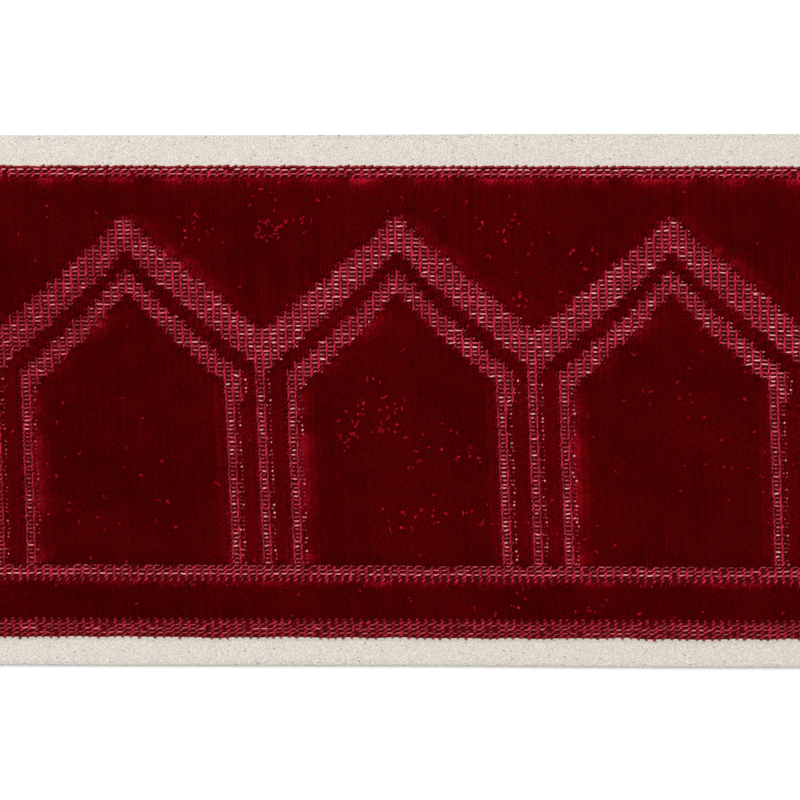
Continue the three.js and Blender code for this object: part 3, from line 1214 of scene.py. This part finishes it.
def addLoops(look):
    chance = np.random.default_rng(look["seeds"][0])
    along, across, up = look["place"]
    spreadAlong, spreadAcross = look["spreads"]
    x = columnPlace(np.arange(columnCount)) + along + chance.normal(0, spreadAlong, columnCount)
    tuft = chance.uniform(0, 1, columnCount) < look["tuftShare"]
    y = across - look["tuftDrop"] * tuft + chance.normal(0, spreadAcross, columnCount)
    turn = np.radians(look["slant"]) + chance.normal(0, look["slantSpread"], columnCount)
    length = np.where(tuft, look["tuftLength"], look["length"])
    sizes = together(look["width"], length, look["thickness"])
    tones = chance.uniform(*look["tones"], columnCount)
    places = together(x, y, heights["floor"] + up)
    return sow("edge_loops", look, bead, raspberryYarn, places, together(0, 0, turn), sizes, tones)


# Where the pile has been crushed, single fibres lie on their side, with painted sheen where they
# catch the light.
fleckLook = {
    "patches": [  # middle along and across the tape, reach each way, number of flecks
        (-9.0, -5.0, 2.2, 4.0, 12),
        (-3.0, -2.5, 2.5, 3.5, 11),
        (5.0, -9.5, 5.0, 4.5, 9),
        (12.5, -11.0, 3.0, 4.0, 7),
        (2.0, -22.0, 6.0, 2.5, 13),
        (14.0, -21.5, 3.0, 3.0, 8),
        (-4.5, 3.5, 1.5, 1.2, 4),
        (-37.0, 32.0, 4.0, 3.0, 10),
        (-23.0, 32.0, 2.5, 2.0, 13),
        (-20.0, 37.0, 7.0, 4.0, 10),
        (4.0, 34.5, 8.0, 4.0, 9),
        (22.0, 31.0, 7.0, 4.0, 12),
        (33.0, 24.0, 4.0, 6.0, 10),
        (23.5, 19.0, 1.4, 1.4, 7),
        (37.0, -38.5, 7.0, 1.5, 8),
        (21.0, -37.5, 1.5, 2.5, 5),
        (-68.0, -16.0, 7.0, 7.0, 7),
        (56.0, -8.0, 9.0, 12.0, 9),
    ],
    "trails": [  # from and to, and number of flecks
        (-10.5, -9.5, -6.0, -0.5, 9),
        (-3.8, -5.2, 0.8, 0.0, 8),
        (-23.5, 30.0, -20.0, 33.5, 7),
        (-20.0, 33.5, -15.5, 34.2, 4),
    ],
    "trailSpread": 0.25,
    "scattered": 300,
    "bright": {"scattered": (0.0, 0.4), "patches": (0.1, 1.0), "trails": (0.1, 0.8), "others": (0.1, 0.6)},
    "perFleck": 3,  # fibres, the first being the brightest
    "spread": 0.2,
    "length": 0.5,
    "lengths": (0.6, 1.5),  # shares of the length
    "width": 0.34,
    "widths": (0.8, 1.5),
    "thickness": 0.3,
    "depths": (0.1, 0.12),  # under the tips of the pile, and how much more at most
    "slant": -35.0,
    "slantChange": 0.9,
    "slantLength": 9.0,
    "slantSpread": 0.25,
    "tone": (0.3, 0.6),  # of the dullest, and how much more of the brightest
    "glow": (0.15, 0.75),
    "jitter": (0.1, 0.15),
    "seeds": (81, 83, 82),
}


def addFlecks(look):
    chance = np.random.default_rng(look["seeds"][0])
    brightness = look["bright"]
    x = [chance.uniform(-tapeLength / 2, tapeLength / 2, look["scattered"])]
    y = [chance.uniform(weave["bottom"], weave["top"], look["scattered"])]
    bright = [chance.uniform(*brightness["scattered"], look["scattered"])]
    for middleX, middleY, reachX, reachY, count in look["patches"]:
        x.append(middleX + reachX * chance.uniform(-1, 1, count))
        y.append(middleY + reachY * chance.uniform(-1, 1, count))
        bright.append(chance.uniform(*brightness["patches"], count) ** 2)
    for fromX, fromY, toX, toY, count in look["trails"]:
        share = np.linspace(0, 1, count)
        x.append(fromX + (toX - fromX) * share + chance.normal(0, look["trailSpread"], count))
        y.append(fromY + (toY - fromY) * share + chance.normal(0, look["trailSpread"], count))
        bright.append(chance.uniform(*brightness["trails"], count))
    x, y, bright = (np.repeat(np.concatenate(part), look["perFleck"]) for part in (x, y, bright))
    count = len(x)
    other = np.tile(np.arange(look["perFleck"]), count // look["perFleck"]) > 0
    x = x + chance.normal(0, look["spread"], count) * other
    y = y + chance.normal(0, look["spread"], count) * other
    bright = bright * np.where(other, chance.uniform(*brightness["others"], count), 1)
    column = np.round((x - columnPlace(0)) / weave["columnPitch"])
    row = (weave["top"] - y) / rowPitch
    column = np.clip(column, 0, columnCount - 1).astype(int)
    row = np.clip(row, 0, weave["rows"] - 1).astype(int)
    stands = ~ground[column, row]
    x, y, bright = x[stands], y[stands], bright[stands]
    count = len(x)
    depth, deeper = look["depths"]
    places = together(x, y, heights["pile"] - depth - deeper * chance.uniform(0, 1, count))
    wander = look["slantChange"] * softWaves(x, y, look["slantLength"], look["seeds"][1])
    turn = np.radians(look["slant"]) + wander + chance.normal(0, look["slantSpread"], count)
    turns = together(chance.normal(0, look["slantSpread"], count), 0, turn)
    length = look["length"] * chance.uniform(*look["lengths"], count)
    width = look["width"] * chance.uniform(*look["widths"], count)
    sizes = together(width, length, look["thickness"])
    tones, paintedSheens = (least + more * bright for least, more in (look["tone"], look["glow"]))
    return sow("crushed_fibres", look, fibre, cutPile, places, turns, sizes, tones, paintedSheens)


tips = addTips(tipLook)
rims = addRims(rimLook)
stitches = addStitches(stitchLook)
rungs = addRungs(rungLook)
threads = addBorderThreads(threadLook)
loops = addLoops(loopLook)
flecks = addFlecks(fleckLook)
print("yarns sown")


# The surface that the tape lies on, just under it.
floorLook = {"reach": 3.0, "drop": 0.00005, "colour": (0.93, 0.93, 0.93)}


def addFloor(look):
    mesh = bpy.data.meshes.new("floor")
    reach = look["reach"]
    corners = [(-reach, -reach), (reach, -reach), (reach, reach), (-reach, reach)]
    mesh.from_pydata([(x, y, -look["drop"]) for x, y in corners], [], [(0, 1, 2, 3)])
    floor = addObject("floor", mesh)
    material, _, shader = newMaterial("floor", **{"Roughness": 1.0, "Specular IOR Level": 0.0})
    shader.inputs["Base Color"].default_value = (*look["colour"], 1)
    mesh.materials.append(material)


# One large lamp above the upper left, and an even light from all round.
lightLook = {
    "world": 0.62,
    "energy": 8.2,
    "size": 0.8,
    "place": (-0.25, 0.38, 1.0),
    "turn": (-21.0, -14.0, 0.0),
}


def addLight(look):
    world = bpy.data.worlds.new("studio")
    bpy.context.scene.world = world
    world.use_nodes = True
    background = world.node_tree.nodes["Background"]
    background.inputs["Color"].default_value = (1, 1, 1, 1)
    background.inputs["Strength"].default_value = look["world"]
    data = bpy.data.lights.new("softbox", "AREA")
    data.size = look["size"]
    data.energy = look["energy"]
    lamp = addObject("softbox", data)
    lamp.location = look["place"]
    lamp.rotation_euler = [math.radians(turn) for turn in look["turn"]]
    bpy.context.scene.view_settings.view_transform = "Standard"


addFloor(floorLook)
addLight(lightLook)
slots = {
    "plain_weave": [sheet],
    "velvet_pile": [ridges, *tips, *rims, flecks],
    "raspberry_yarn": [stitches, loops],
    "pale_yarn": [rungs, threads],
}
pieces = [piece for group in slots.values() for piece in group]
for slot, group in slots.items():
    for piece in group:
        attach(piece, "root")
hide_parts("velvet_tape")
total = sum(len(face.vertices) - 2 for piece in pieces for face in piece.data.polygons)
print("triangles in all:", total)
